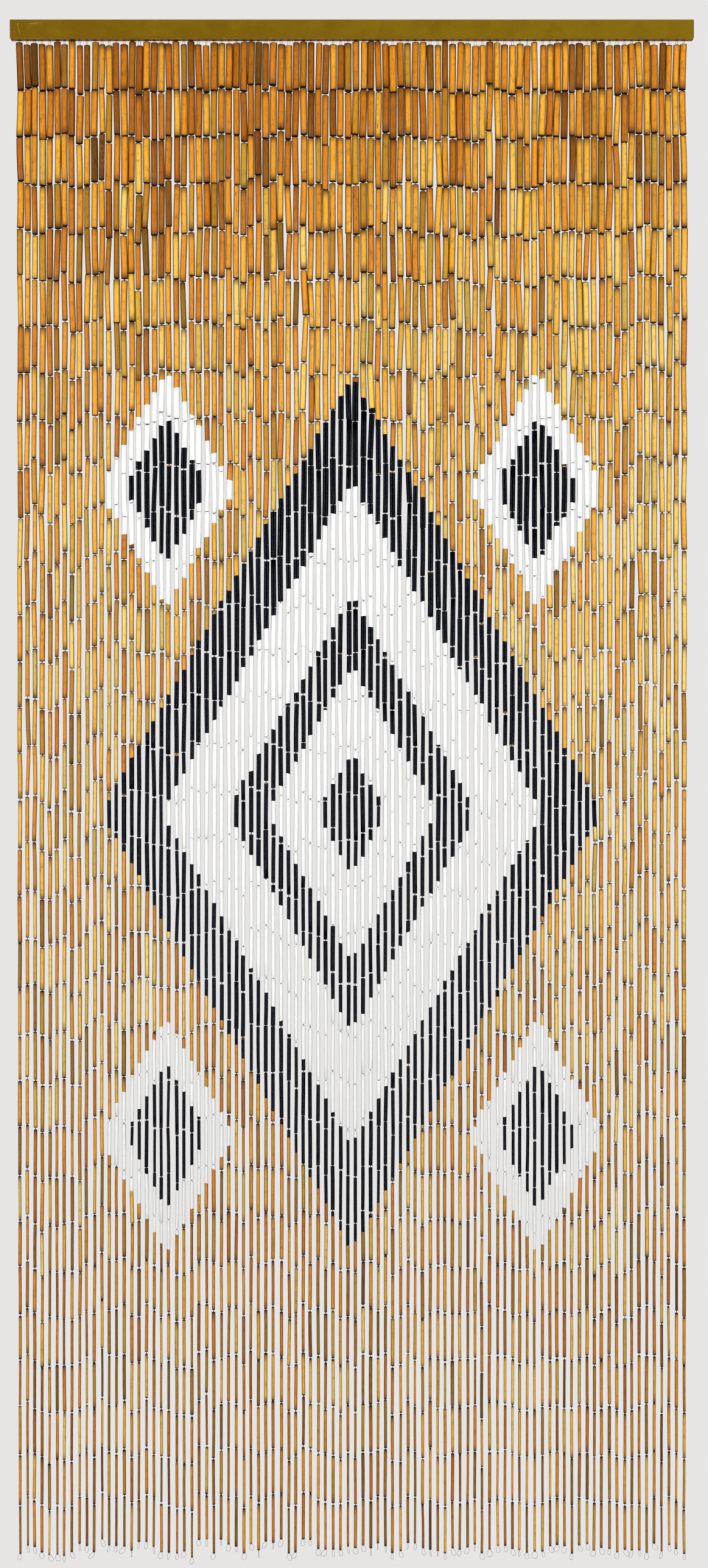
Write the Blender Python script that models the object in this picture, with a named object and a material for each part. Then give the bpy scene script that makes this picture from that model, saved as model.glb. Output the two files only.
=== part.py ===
"""Bamboo door curtain: ninety strands of bamboo tube that hang from a painted wooden batten.

Metres, +Z up, the front faces -Y. The origin is the centre of the batten's back face, which is
screwed to the wall or the door frame above the opening.
"""

import math
import random

import bmesh
import bpy

# Batten
BATTEN_LENGTH = 0.900
BATTEN_HEIGHT = 0.0255
BATTEN_DEPTH = 0.012
BATTEN_EDGE_ROUND = 0.0011
BATTEN_EDGE_STEPS = 2

# Row of wire hooks along the batten's underside, as one narrow strip that carries every strand
FREE_GAP = 0.0003
HOOK_STRIP_HEIGHT = 0.0008
HOOK_STRIP_DEPTH = 0.0010
HOOK_STRIP_OVERHANG = 0.0030
HOOK_WIRE_SPREAD = 0.0032

# Strands: where they hang, and how far down the first tube starts and the last tube ends
STRANDS = 90
STRAND_PITCH = 0.00983
HOOK_STRAY = 0.00025
FIRST_TUBE_DROP = (0.0020, 0.0085)
LAST_TUBE_END = -2.0000
END_SPREAD = 0.0120
END_SPREAD_SHARE = 0.45
STRAND_SEED = 4100

# A strand's sections, from its first tube's top to its last tube's end. Columns: share of the
# strand's length, width there, and how far it may stray sideways there.
SECTIONS = (
    (0.00, 0.0089, 0.0000),
    (0.19, 0.0075, 0.0005),
    (0.44, 0.0057, 0.0009),
    (0.72, 0.0044, 0.0009),
    (1.00, 0.0032, 0.0006),
)

# Wire loop at each strand's foot
LOOP_WIDTH = 0.0066
LOOP_HEIGHT = 0.0088
LOOP_WIRE = 0.0006
LOOP_ROOT_HALF_WIDTH = 0.0010
LOOP_ROOT_HALF_GAP = 0.0004
LOOP_CENTRE_DROP = 0.0052
LOOP_ANGLES = (60, 115, 180, 245, 300)
MOST_LOOP_TURN = 88

# The corners of a section, seen from above: -X -Y, +X -Y, +X +Y, -X +Y
CORNERS = ((-1, -1), (1, -1), (1, 1), (-1, 1))

UNDERSIDE = -BATTEN_HEIGHT / 2
STRAND_Y = -BATTEN_DEPTH / 2


def clear_scene():
    for obj in list(bpy.data.objects):
        bpy.data.objects.remove(obj)


def material(name, colour, roughness, metallic=0.0):
    made = bpy.data.materials.new(name)
    made.use_nodes = True
    shader = made.node_tree.nodes["Principled BSDF"]
    shader.inputs["Base Color"].default_value = (*colour, 1.0)
    shader.inputs["Roughness"].default_value = roughness
    shader.inputs["Metallic"].default_value = metallic
    return made


def object_from(bm, name, finish, parent):
    bmesh.ops.recalc_face_normals(bm, faces=bm.faces)
    mesh = bpy.data.meshes.new(name)
    bm.to_mesh(mesh)
    bm.free()
    mesh.materials.append(finish)
    obj = bpy.data.objects.new(name, mesh)
    bpy.context.scene.collection.objects.link(obj)
    obj.parent = parent
    return obj


def make_batten(finish, parent):
    """A planed wooden strip with softened edges, its back face on the wall."""
    bm = bmesh.new()
    bmesh.ops.create_cube(bm, size=1.0)
    bmesh.ops.scale(bm, vec=(BATTEN_LENGTH, BATTEN_DEPTH, BATTEN_HEIGHT), verts=bm.verts)
    bmesh.ops.translate(bm, vec=(0, -BATTEN_DEPTH / 2, 0), verts=bm.verts)
    batten = object_from(bm, "batten", finish, parent)
    rounding = batten.modifiers.new("softened edges", "BEVEL")
    rounding.width = BATTEN_EDGE_ROUND
    rounding.segments = BATTEN_EDGE_STEPS
    return batten


def strand_plan(index):
    """Where one strand hangs: its hook, the heights of its ends, its loop's turn and its stray at each section."""
    draw = random.Random(STRAND_SEED + index)
    hook_x = (index - (STRANDS - 1) / 2) * STRAND_PITCH + draw.uniform(-1, 1) * HOOK_STRAY
    top = UNDERSIDE - draw.uniform(*FIRST_TUBE_DROP)
    end_share = max(-1.0, min(1.0, draw.gauss(0, END_SPREAD_SHARE)))
    foot = LAST_TUBE_END + end_share * END_SPREAD
    loop_turn = math.radians(draw.uniform(-MOST_LOOP_TURN, MOST_LOOP_TURN))
    strays = [draw.uniform(-1, 1) * most for share, width, most in SECTIONS]
    return hook_x, top, foot, loop_turn, strays


def section(bm, x, z, width, depth):
    return [
        bm.verts.new((x + i * width / 2, STRAND_Y + j * depth / 2, z)) for i, j in CORNERS
    ]


def skin(bm, first, second):
    """Four side faces between two sections."""
    for i in range(4):
        j = (i + 1) % 4
        bm.faces.new((first[i], first[j], second[j], second[i]))


def hook_strip(bm, hooks):
    """The strip as a row of cross-sections along X. It stays open below each hook, and the four points of each
    opening are returned for its strand to start from."""
    top = UNDERSIDE - FREE_GAP
    bottom = top - HOOK_STRIP_HEIGHT
    half_depth = HOOK_STRIP_DEPTH / 2
    stations = [hooks[0] - HOOK_STRIP_OVERHANG]
    for x in hooks:
        stations += [x - HOOK_WIRE_SPREAD / 2, x + HOOK_WIRE_SPREAD / 2]
    stations.append(hooks[-1] + HOOK_STRIP_OVERHANG)
    edges = ((-half_depth, bottom), (half_depth, bottom), (half_depth, top), (-half_depth, top))
    rows = [[bm.verts.new((x, STRAND_Y + y, z)) for y, z in edges] for x in stations]
    roots = []
    for span, (left, right) in enumerate(zip(rows, rows[1:])):
        for i in range(1, 4):
            j = (i + 1) % 4
            bm.faces.new((left[i], left[j], right[j], right[i]))
        under = (left[0], right[0], right[1], left[1])
        if span % 2:
            roots.append(under)
        else:
            bm.faces.new(under)
    bm.faces.new(rows[0])
    bm.faces.new(rows[-1])
    return roots


def foot_loop(bm, foot_ring, x, z, turn):
    """Closes a strand's foot with a wire loop: the foot face holds a narrow fork, and the wire runs round from
    the fork's left end to its right end. The loop's plane is turned about Z."""
    along = (math.cos(turn), math.sin(turn))
    across = (-math.sin(turn), math.cos(turn))
    half_wire = LOOP_WIRE / 2

    def point(sideways, down, side):
        px = x + sideways * along[0] + side * half_wire * across[0]
        py = STRAND_Y + sideways * along[1] + side * half_wire * across[1]
        return bm.verts.new((px, py, z - down))

    reach = (-LOOP_ROOT_HALF_WIDTH, -LOOP_ROOT_HALF_GAP, LOOP_ROOT_HALF_GAP, LOOP_ROOT_HALF_WIDTH)
    near = [point(u, 0, -1) for u in reach]
    far = [point(u, 0, 1) for u in reach]

    quarter_turns = round(turn / (math.pi / 2))
    rim = [foot_ring[(i + quarter_turns) % 4] for i in range(4)]
    bm.faces.new((rim[0], rim[1], near[3], near[2], near[1], near[0]))
    bm.faces.new((rim[1], rim[2], far[3], near[3]))
    bm.faces.new((rim[2], rim[3], far[0], far[1], far[2], far[3]))
    bm.faces.new((rim[3], rim[0], near[0], far[0]))
    bm.faces.new((near[1], near[2], far[2], far[1]))

    outer = (LOOP_WIDTH / 2, LOOP_HEIGHT / 2)
    rings = [(near[0], near[1], far[1], far[0])]
    for angle in map(math.radians, LOOP_ANGLES):
        sideways = -math.sin(angle)
        down = -math.cos(angle)
        corners = []
        for inset, side in ((0, -1), (LOOP_WIRE, -1), (LOOP_WIRE, 1), (0, 1)):
            u = sideways * (outer[0] - inset)
            w = LOOP_CENTRE_DROP + down * (outer[1] - inset)
            corners.append(point(u, w, side))
        rings.append(corners)
    rings.append((near[3], near[2], far[2], far[3]))
    for first, second in zip(rings, rings[1:]):
        skin(bm, first, second)


def make_strands(finish, parent):
    """Every strand, fused at its root into the strip of hooks."""
    plans = [strand_plan(index) for index in range(STRANDS)]
    bm = bmesh.new()
    roots = hook_strip(bm, [plan[0] for plan in plans])
    for root, (hook_x, top, foot, loop_turn, strays) in zip(roots, plans):
        above = section(bm, hook_x, top, HOOK_WIRE_SPREAD, HOOK_STRIP_DEPTH)
        skin(bm, root, above)
        for (share, width, most), stray in zip(SECTIONS, strays):
            z = top + share * (foot - top)
            below = section(bm, hook_x + stray, z, width, width)
            skin(bm, above, below)
            above = below
        foot_loop(bm, above, hook_x + strays[-1], foot, loop_turn)
    return object_from(bm, "strands", finish, parent)


def main():
    clear_scene()
    gold_paint = material("gold paint on wood", (0.22, 0.12, 0.01), 0.5)
    bamboo = material("toasted bamboo", (0.62, 0.28, 0.03), 0.45)
    curtain = bpy.data.objects.new("door_curtain", None)
    bpy.context.scene.collection.objects.link(curtain)
    make_batten(gold_paint, curtain)
    make_strands(bamboo, curtain)


main()
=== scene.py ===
"""Looks of a bamboo door curtain: strands of bamboo tube on wire, hung from a painted wooden batten.

Laid out as a Blender add-on and run as a script. Metres, +Z up, the front faces -Y, and the origin
is the centre of the batten's back face.
"""

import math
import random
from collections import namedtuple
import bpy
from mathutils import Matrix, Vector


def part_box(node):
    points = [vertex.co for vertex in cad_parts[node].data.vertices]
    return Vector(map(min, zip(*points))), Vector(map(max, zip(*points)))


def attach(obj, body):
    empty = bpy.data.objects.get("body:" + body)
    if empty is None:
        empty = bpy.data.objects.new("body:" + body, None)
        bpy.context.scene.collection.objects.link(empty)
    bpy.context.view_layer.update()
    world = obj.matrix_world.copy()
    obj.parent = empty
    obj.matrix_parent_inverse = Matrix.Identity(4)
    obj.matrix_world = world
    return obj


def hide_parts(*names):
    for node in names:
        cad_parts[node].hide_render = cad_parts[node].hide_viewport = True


bl_info = {
    "name": "Bamboo Door Curtain",
    "version": (1, 0, 0),
    "blender": (4, 5, 0),
    "location": "3D View > Sidebar > Curtain",
    "description": "Makes the tubes, wire, batten and finishes of a bamboo door curtain",
    "category": "Object",
}

import bmesh
import bpy
import numpy as np
from bpy.props import FloatProperty, FloatVectorProperty, PointerProperty
from mathutils import Vector

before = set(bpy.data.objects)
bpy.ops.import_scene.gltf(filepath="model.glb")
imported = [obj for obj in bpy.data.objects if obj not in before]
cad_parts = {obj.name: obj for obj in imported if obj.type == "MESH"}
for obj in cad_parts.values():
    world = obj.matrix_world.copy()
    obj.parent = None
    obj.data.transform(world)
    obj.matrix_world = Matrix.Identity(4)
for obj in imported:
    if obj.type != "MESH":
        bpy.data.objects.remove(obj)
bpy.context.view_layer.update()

# The strands hang where the solid ones do, so these values and the draws in strand_plan are the same
STRANDS = 90
STRAND_PITCH = 0.00983
HOOK_STRAY = 0.00025
FIRST_TUBE_DROP = (0.0020, 0.0085)
LAST_TUBE_END = -2.0000
END_SPREAD = 0.0120
END_SPREAD_SHARE = 0.45
STRAND_SEED = 4100
MOST_LOOP_TURN = 88
# Columns: share of the strand's length, width there, and how far it may stray sideways there
SECTIONS = (
    (0.00, 0.0089, 0.0000),
    (0.19, 0.0075, 0.0005),
    (0.44, 0.0057, 0.0009),
    (0.72, 0.0044, 0.0009),
    (1.00, 0.0032, 0.0006),
)
BATTEN_LOW, BATTEN_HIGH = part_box("batten")
UNDERSIDE = BATTEN_LOW.z
STRAND_Y = (BATTEN_LOW.y + BATTEN_HIGH.y) / 2

# Tubes
TUBES_IN_STRAND = 32
TUBE_SEED = 700
# Sides of a tube, from the thick ones at the top to the thin ones at the foot: least width, sides
TUBE_SIDES = ((0.0068, 16), (0.0050, 12), (0.0, 10))
WALL_SHARE = 0.05
LENGTH_SPREAD = 0.0026
LENGTH_DRIFT = 0.012
# Least, most and usual gap between two tubes
LINK_GAP = (0.0003, 0.0034, 0.0012)
# The top tubes are a little thicker than the solid strand. Columns: share of its length, times its width.
FULLNESS = ((0.0, 1.025), (0.15, 1.0))
STRAND_WIDTH_SPREAD = 0.035
TUBE_WIDTH_SPREAD = 0.060
MOST_WIDTH_CHANGE = 0.14
# How much more the widths change at the foot than at the top, as a share
FOOT_WIDTH_CHANGE = 0.7
FLARE_SPREAD = 0.020
# How far a joint strays sideways. Columns: share of the strand's length, stray there.
JOINT_STRAY = ((0.0, 0.00090), (0.25, 0.00050), (0.6, 0.00022), (1.0, 0.00016))
# How far it strays in depth, as a share of that
DEPTH_STRAY = 0.7
# Share of joints that stray far more, and how many times as far
LOOSE_JOINT_SHARE = 0.05
LOOSE_JOINT_STRAY = 3
# How far the two tubes of a joint stand beside each other, as a share of the stray there
JOINT_STEP = 0.30
# The outermost strands swing inwards. Rows are strands from the edge, columns the first joints down.
EDGE_LEAN = ((0.0042, 0.0017, 0.0014, 0.0006), (0.0022, 0.0010, 0.0006, 0.0), (0.0010, 0.0004, 0.0, 0.0))
TUBE_CLEARANCE = 0.00015
SETTLE_PASSES = 40
# How far tubes bow, at the top of the curtain and at its foot
BOW_SPREAD = (0.00030, 0.00012)
END_SLANT = 0.035
RIM = 0.00020
STRANDS_IN_BAND = 6

# Colours and marks of the tubes. Columns: share of the strand's length, value there. A tone goes from 0,
# toasted, to 1, pale.
MIDDLE_TONE = ((0.0, 0.42), (0.12, 0.61), (0.3, 0.72), (0.5, 0.70), (0.75, 0.58), (1.0, 0.41))
MOST_TONE = ((0.0, 0.62), (0.12, 1.0))
TONE_SPREAD = ((0.0, 0.16), (1.0, 0.21))
DARK_SHARE = ((0.0, 0.14), (0.08, 0.08), (0.2, 0.03), (0.5, 0.05), (1.0, 0.17))
OLIVE_SHARE = ((0.0, 0.05), (0.12, 0.20), (0.3, 0.30), (0.6, 0.44), (1.0, 0.42))
CRACK_SHARE = ((0.0, 0.06), (0.3, 0.02))
DARK_TONE = (0.10, 0.34)
# Further down than this share of the strand's length, all dark tubes are olive
DARK_OLIVE_FROM = 0.1
# How much paler the tubes are at the right end of the top rows than in the middle
SIDE_TONE = 0.13
MOTTLED_SHARE = 0.07

# Painted figure
NATURAL, BLACK, WHITE = 0, 1, 2
CUT_END, BORE = 3, 4
# Bands of a lozenge from the outside in. Columns: share of its size, paint.
BIG_BANDS = ((1.00, BLACK), (0.76, WHITE), (0.50, BLACK), (0.34, WHITE), (0.14, BLACK))
SMALL_BANDS = ((1.00, WHITE), (0.62, BLACK))
# Place and size of the small lozenges, as shares of the big one's half width and half height
SMALL_PLACE = 0.74
SMALL_SIZE = 0.27
# How far the edges on one strand stray together, and each by itself
STRAND_PAINT_STRAY = 0.0016
EDGE_PAINT_STRAY = 0.0008
# Paint lower than this is left out: on one tube, and half of a band's height on one strand
LEAST_BAND = 0.0012
LEAST_REACH = 0.012
# How far from a tube's end the black paint missed it, and at what share of the ends
MISSED_END = (0.0012, 0.0018)
MISSED_SHARE = 0.035
# How far a paint edge leans across a tube, and how ragged it is
PAINT_LEAN = 0.0008
PAINT_RAGGED = 0.00012

# Batten
EDGE_ROUND = 0.0008
# The point midway round an edge lies this far in from both faces
EDGE_MIDDLE = 0.00023
LOWER_CORNER = 0.0026
UPPER_CORNER = 0.0010
# How far in from the outline the wear of the front's edges ends
FRONT_INSET = 0.0032
# Wear of the upper edges as a share of that of the lower ones, and of the back edges as one of the front ones
TOP_WEAR = 0.5
BACK_WEAR = 0.6
# Scratches at the left end. Columns: place across the scratch, where it starts, where it ends, bend.
UPRIGHT_SCRATCHES = ((-0.4395, 0.0080, -0.0064, 16.0), (-0.4442, -0.0028, -0.0048, 0.0))
LEVEL_SCRATCHES = ((0.0084, -0.4065, -0.4225, -3.0), (0.0070, -0.4130, -0.4250, 2.0))

# Wire
LINK_SIDES = 4
LINK_REACH = 0.0028
LINK_SPREAD = (0.0012, 0.0024)
# By how many thicknesses of wire a bore is at least wider than the spread of a link, and of a hook
LINK_CLEARANCE = 2.2
HOOK_CLEARANCE = 1.6
LINK_SEED = 9000
STRANDS_OF_LINKS = 18
# How far below the batten a hook's wire arch is held, and the staple that holds it. Columns: share of the
# staple's spread, height above the underside.
ARCH_DROP = 0.0008
ARCH_POINTS = 9
STAPLE_SPREAD = 0.0009
STAPLE = ((-1, 0.0008), (-1, -0.0007), (-0.5, -0.0014), (0.5, -0.0014), (1, -0.0007), (1, 0.0008))
# Least, most and usual share of the hook spread, the share of it between an arch's middle and a leg, how
# much thinner the wire is than a link's, and how far hooks turn
HOOK_SPREAD_SHARE = (0.45, 1.1, 0.95)
LEG_SHARE = 0.46
HOOK_WIRE_SHARE = 0.9
HOOK_TURN = 0.45
HOOK_SEED = 8000
LOOP_SIDES = 6
LOOP_STEPS = 24
# How much of its width and of its height a loop has
LOOP_WIDTH_SHARE = (0.80, 1.05)
LOOP_HEIGHT_SHARE = (0.88, 1.05)
# Heights over the last tube's end between which its wires run straight, and how far below the end it starts
LOOP_NECK = (0.0022, 0.0002)
LOOP_DROP = 0.0003
# Degrees from its top at which the round part starts and ends
LOOP_START = 22
LOOP_LEAN = 0.24
LOOP_SEED = 6000

# Stage
STRIP_SIZE = (0.5, 3.4)
STRIP_APART = 1.9
STRIP_DISTANCE = 2.3
STRIP_HEIGHT = -1.0
FLOOR_HEIGHT = -2.60
FLOOR_RADIUS = 1.8
CAMERA_X = 0.0028
CAMERA_HEIGHT = -0.993

Tube = namedtuple("Tube", "head foot width flare bow slant look paint")
Look = namedtuple("Look", "tone olive mottle crack shift")
Strand = namedtuple("Strand", "hook_x top foot loop_turn strays")


def srgb(red, green, blue):
    """A colour read off a screen, 0 to 255, as the linear values that Blender's sockets hold."""
    linear = []
    for level in (red, green, blue):
        share = level / 255
        linear.append(share / 12.92 if share <= 0.04045 else ((share + 0.055) / 1.055) ** 2.4)
    return tuple(linear)


def read_off(table, share):
    """The second column of a table whose first one is a share, at any share between its rows."""
    return np.interp(share, [row[0] for row in table], [row[1] for row in table])


def up(height):
    return np.array((0, 0, height))


def directions(turn):
    """Unit vectors along and across something flat that is turned about Z."""
    along = np.array((math.cos(turn), math.sin(turn), 0))
    across = np.array((-math.sin(turn), math.cos(turn), 0))
    return along, across


def size_property(name, description, default):
    return FloatProperty(
        name=name, description=description, default=default, min=0.0,
        subtype="DISTANCE", unit="LENGTH", precision=5,
    )


def colour_property(name, description, *screen):
    return FloatVectorProperty(
        name=name, description=description, default=srgb(*screen), size=3, min=0.0, max=1.0, subtype="COLOR",
    )


def light_property(name, description, default):
    return FloatProperty(name=name, description=description, default=default, min=0.0)


class CurtainSizes(bpy.types.PropertyGroup):
    wall: size_property("Wall", "A tube's wall, to which a share of its width is added", 0.0005)
    link_wire: size_property("Link wire", "Thickness of the wire in the hooks and links", 0.00058)
    loop_wire: size_property("Loop wire", "Thickness of the wire in the foot loops", 0.00042)
    hook_spread: size_property("Hook spread", "Distance between the two wires of a hook", 0.0030)
    loop_width: size_property("Loop width", "Width of the loop at a strand's foot", 0.0079)
    loop_height: size_property("Loop height", "Height of the loop at a strand's foot", 0.0090)
    figure_width: size_property("Figure width", "Width of the painted lozenge", 0.660)
    figure_height: size_property("Figure height", "Height of the painted lozenge", 1.150)
    figure_drop: size_property("Figure drop", "Distance from the origin down to the lozenge's middle", 1.030)


class CurtainColours(bpy.types.PropertyGroup):
    toasted: colour_property("Toasted bamboo", "The darkest tubes", 92, 52, 14)
    brown: colour_property("Brown bamboo", "Orange-brown tubes", 192, 107, 21)
    orange: colour_property("Orange bamboo", "Most tubes", 233, 146, 32)
    amber: colour_property("Amber bamboo", "Yellow tubes", 247, 183, 54)
    pale: colour_property("Pale bamboo", "The palest tubes", 254, 214, 104)
    olive: colour_property("Olive bamboo", "Tubes that kept some green", 152, 127, 27)
    scorch: colour_property("Scorch", "Burnt ends, specks and cracks", 34, 20, 8)
    black_paint: colour_property("Black paint", "Dark part of the figure", 2, 3, 8)
    white_paint: colour_property("White paint", "Light part of the figure", 247, 249, 247)
    gold_paint: colour_property("Gold paint", "Batten", 118, 88, 8)
    bare_wood: colour_property("Bare wood", "Underside of the batten", 178, 124, 64)
    steel: colour_property("Steel", "Wire", 150, 148, 142)


class CurtainStage(bpy.types.PropertyGroup):
    surround: colour_property("Surround", "Plain pale surround that the camera sees", 231, 229, 228)
    floor: colour_property("Floor", "Plain pale floor", 206, 205, 203)
    fill: light_property("Fill light", "Strength of the light from all round", 0.03)
    front: light_property("Front light", "Strength of the broad light above the camera", 3.1)
    low: light_property("Low light", "Strength of the light that comes up from the floor in front", 1.72)
    strip: FloatProperty(
        name="Strip lights", description="Power of each of the two tall strip lights beside the camera",
        default=17.0, min=0.0, subtype="POWER", unit="POWER",
    )
    back: light_property("Back light", "Strength of the high light behind the curtain", 2.4)
    distance: size_property("Camera distance", "From the curtain to the camera", 3.3)
    lens: FloatProperty(
        name="Lens", description="Focal length of the camera", default=57.5, min=1.0,
        subtype="DISTANCE_CAMERA",
    )


def settings():
    return bpy.context.scene.curtain_sizes


def colours():
    return bpy.context.scene.curtain_colours


def strand_plan(index):
    """Where one strand hangs, with the same draws as the solid strand."""
    draw = random.Random(STRAND_SEED + index)
    hook_x = (index - (STRANDS - 1) / 2) * STRAND_PITCH + draw.uniform(-1, 1) * HOOK_STRAY
    top = UNDERSIDE - draw.uniform(*FIRST_TUBE_DROP)
    end_share = max(-1.0, min(1.0, draw.gauss(0, END_SPREAD_SHARE)))
    foot = LAST_TUBE_END + end_share * END_SPREAD
    loop_turn = math.radians(draw.uniform(-MOST_LOOP_TURN, MOST_LOOP_TURN))
    strays = [draw.uniform(-1, 1) * most for share, width, most in SECTIONS]
    return Strand(hook_x, top, foot, loop_turn, strays)


def tube_heights(strand, draw):
    """Heights of the upper and lower end of each tube of a strand. Tubes differ in length, and the last one
    ends where the strand does."""
    drift = draw.gauss(0, LENGTH_DRIFT)
    usual = (strand.top - strand.foot) / TUBES_IN_STRAND
    lengths = []
    for row in range(TUBES_IN_STRAND):
        longer = drift if row < TUBES_IN_STRAND / 2 else -drift
        lengths.append(usual * (1 + longer) + draw.gauss(0, LENGTH_SPREAD))
    gaps = [draw.triangular(*LINK_GAP) for row in range(TUBES_IN_STRAND - 1)] + [0.0]
    fitted = (strand.top - strand.foot - sum(gaps)) / sum(lengths)
    heads, feet = [], []
    z = strand.top
    for length, gap in zip(lengths, gaps):
        heads.append(z)
        z -= length * fitted
        feet.append(z)
        z -= gap
    return heads, feet


def tube_widths(strand, heads, draw):
    """Width of each tube of a strand: the strand's own at that height, a little more or less."""
    own = draw.gauss(0, STRAND_WIDTH_SPREAD)
    found = []
    for z in heads:
        share = (strand.top - z) / (strand.top - strand.foot)
        change = own + draw.gauss(0, TUBE_WIDTH_SPREAD)
        change = max(-MOST_WIDTH_CHANGE, min(MOST_WIDTH_CHANGE, change)) * (1 + FOOT_WIDTH_CHANGE * share)
        found.append(read_off(SECTIONS, share) * read_off(FULLNESS, share) * (1 + change))
    return found


def settle(x, y, width):
    """Pushes neighbouring tubes apart, sideways or in depth, until none cuts into the next."""
    for _ in range(SETTLE_PASSES):
        dx = x[1:] - x[:-1]
        dy = y[1:] - y[:-1]
        apart = np.hypot(dx, dy)
        needed = (width[1:] + width[:-1]) / 2 + TUBE_CLEARANCE
        push = np.maximum(0, needed - apart) / apart / 4
        x[1:] += push * dx
        x[:-1] -= push * dx
        y[1:] += push * dy
        y[:-1] -= push * dy


def tube_look(share, across, draw):
    """Colour and marks of one tube. The mix of colours changes a little from the top of the curtain to its
    foot, and near the top also from side to side, with across from -1 to 1."""
    middle = read_off(MIDDLE_TONE, share) + SIDE_TONE * across * (1 - share)
    tone = middle + draw.gauss(0, read_off(TONE_SPREAD, share))
    dark = draw.random() < read_off(DARK_SHARE, share)
    if dark:
        tone = draw.uniform(*DARK_TONE)
    tone = max(0.0, min(1.0, tone, read_off(MOST_TONE, share)))
    green = draw.random() < read_off(OLIVE_SHARE, share) or dark and share > DARK_OLIVE_FROM
    olive = draw.uniform(0.25, 0.7) if green else draw.uniform(0.0, 0.15)
    mottle = draw.uniform(0.5, 1.0) if draw.random() < MOTTLED_SHARE else draw.uniform(0.0, 0.3)
    crack = draw.uniform(0.6, 1.0) if draw.random() < read_off(CRACK_SHARE, share) else 0.0
    return Look(tone, olive, mottle, crack, draw.uniform(0, 50))


def lozenges():
    """The painted figure, nested lozenges from the outside in. Columns: middle across, middle height,
    half width, half height, and bands."""
    size = settings()
    half_width = size.figure_width / 2
    half_height = size.figure_height / 2
    middle = -size.figure_drop
    shapes = [(0.0, middle, half_width, half_height, BIG_BANDS)]
    for side in (-1, 1):
        for level in (-1, 1):
            across = side * half_width * SMALL_PLACE
            height = middle + level * half_height * SMALL_PLACE
            shapes.append((across, height, half_width * SMALL_SIZE, half_height * SMALL_SIZE, SMALL_BANDS))
    return shapes


def paint_edges(x, draw):
    """The paint down a strand at x, as (height, paint from there down), from the top."""
    shift = draw.gauss(0, STRAND_PAINT_STRAY)
    spans = []
    for across, middle, half_width, half_height, bands in lozenges():
        inward = abs(x - across) / half_width
        for share, paint in bands:
            reach = (share - inward) * half_height
            if reach > LEAST_REACH:
                above = middle + reach + shift + draw.gauss(0, EDGE_PAINT_STRAY)
                below = middle - reach + shift + draw.gauss(0, EDGE_PAINT_STRAY)
                spans.append((above, below, paint))
    levels = sorted({z for above, below, paint in spans for z in (above, below)}, reverse=True)
    edges = []
    for z in levels:
        covering = [paint for above, below, paint in spans if below < z <= above]
        edges.append((z, covering[-1] if covering else NATURAL))
    return edges


def paint_of_tube(edges, head, foot, draw):
    """One tube's paint, as (distance below its upper end, paint from there down, how far the edge leans).
    The link above or below it kept the paint off the very end of some tubes."""
    length = head - foot
    found = [(0.0, NATURAL, 0.0)]
    for z, paint in edges:
        below = head - z
        if below < LEAST_BAND:
            found = [(0.0, paint, 0.0)]
        elif below < length - LEAST_BAND:
            clear = min(below - found[-1][0], length - below) - 2 * RIM
            lean = draw.uniform(-1, 1) * min(PAINT_LEAN, clear / 2)
            found.append((below, paint, lean))
    missed_head, missed_foot = (
        draw.uniform(*MISSED_END) if draw.random() < MISSED_SHARE else 0.0 for _ in range(2)
    )
    room = len(found) == 1 or found[1][0] > missed_head + 2 * LEAST_BAND
    if missed_head and found[0][1] == BLACK and room:
        found = [(0.0, NATURAL, 0.0), (missed_head, BLACK, 0.0)] + found[1:]
    room = found[-1][0] < length - missed_foot - 2 * LEAST_BAND
    if missed_foot and found[-1][1] == BLACK and room:
        found.append((length - missed_foot, NATURAL, 0.0))
    return found


def joint_places(plans, draws, heads, feet, widths):
    """Where the tubes' upper and lower ends stand, seen from above, so that no tube cuts into the next."""
    levels = np.concatenate((heads, feet[:, -1:]), axis=1)
    shares = [row[0] for row in SECTIONS]
    x = np.empty_like(levels)
    y = np.empty_like(levels)
    strays = np.empty_like(levels)
    for index, (plan, draw) in enumerate(zip(plans, draws)):
        down = (plan.top - levels[index]) / (plan.top - plan.foot)
        loose = [LOOSE_JOINT_STRAY if draw.random() < LOOSE_JOINT_SHARE else 1 for _ in down]
        strays[index] = read_off(JOINT_STRAY, down)
        x[index] = plan.hook_x + np.interp(down, shares, plan.strays)
        x[index] += [most * far * draw.gauss(0, 1) for most, far in zip(strays[index], loose)]
        y[index] = [STRAND_Y + DEPTH_STRAY * most * draw.gauss(0, 1) for most in strays[index]]
    for index, leans in enumerate(EDGE_LEAN):
        for joint, lean in enumerate(leans, start=1):
            x[index, joint] += lean
            x[-1 - index, joint] -= lean
    above = np.concatenate((widths[:, :1], widths), axis=1)
    below = np.concatenate((widths, widths[:, -1:]), axis=1)
    settle(x, y, np.maximum(above, below))

    ends = []
    for columns in (slice(0, -1), slice(1, None)):
        steps = np.array([
            [[draw.gauss(0, JOINT_STEP) for _ in range(TUBES_IN_STRAND)] for _ in range(2)] for draw in draws
        ])
        end_x = x[:, columns] + steps[:, 0] * strays[:, columns]
        end_y = y[:, columns] + steps[:, 1] * strays[:, columns]
        settle(end_x, end_y, widths)
        ends.append((end_x, end_y))
    return ends


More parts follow.
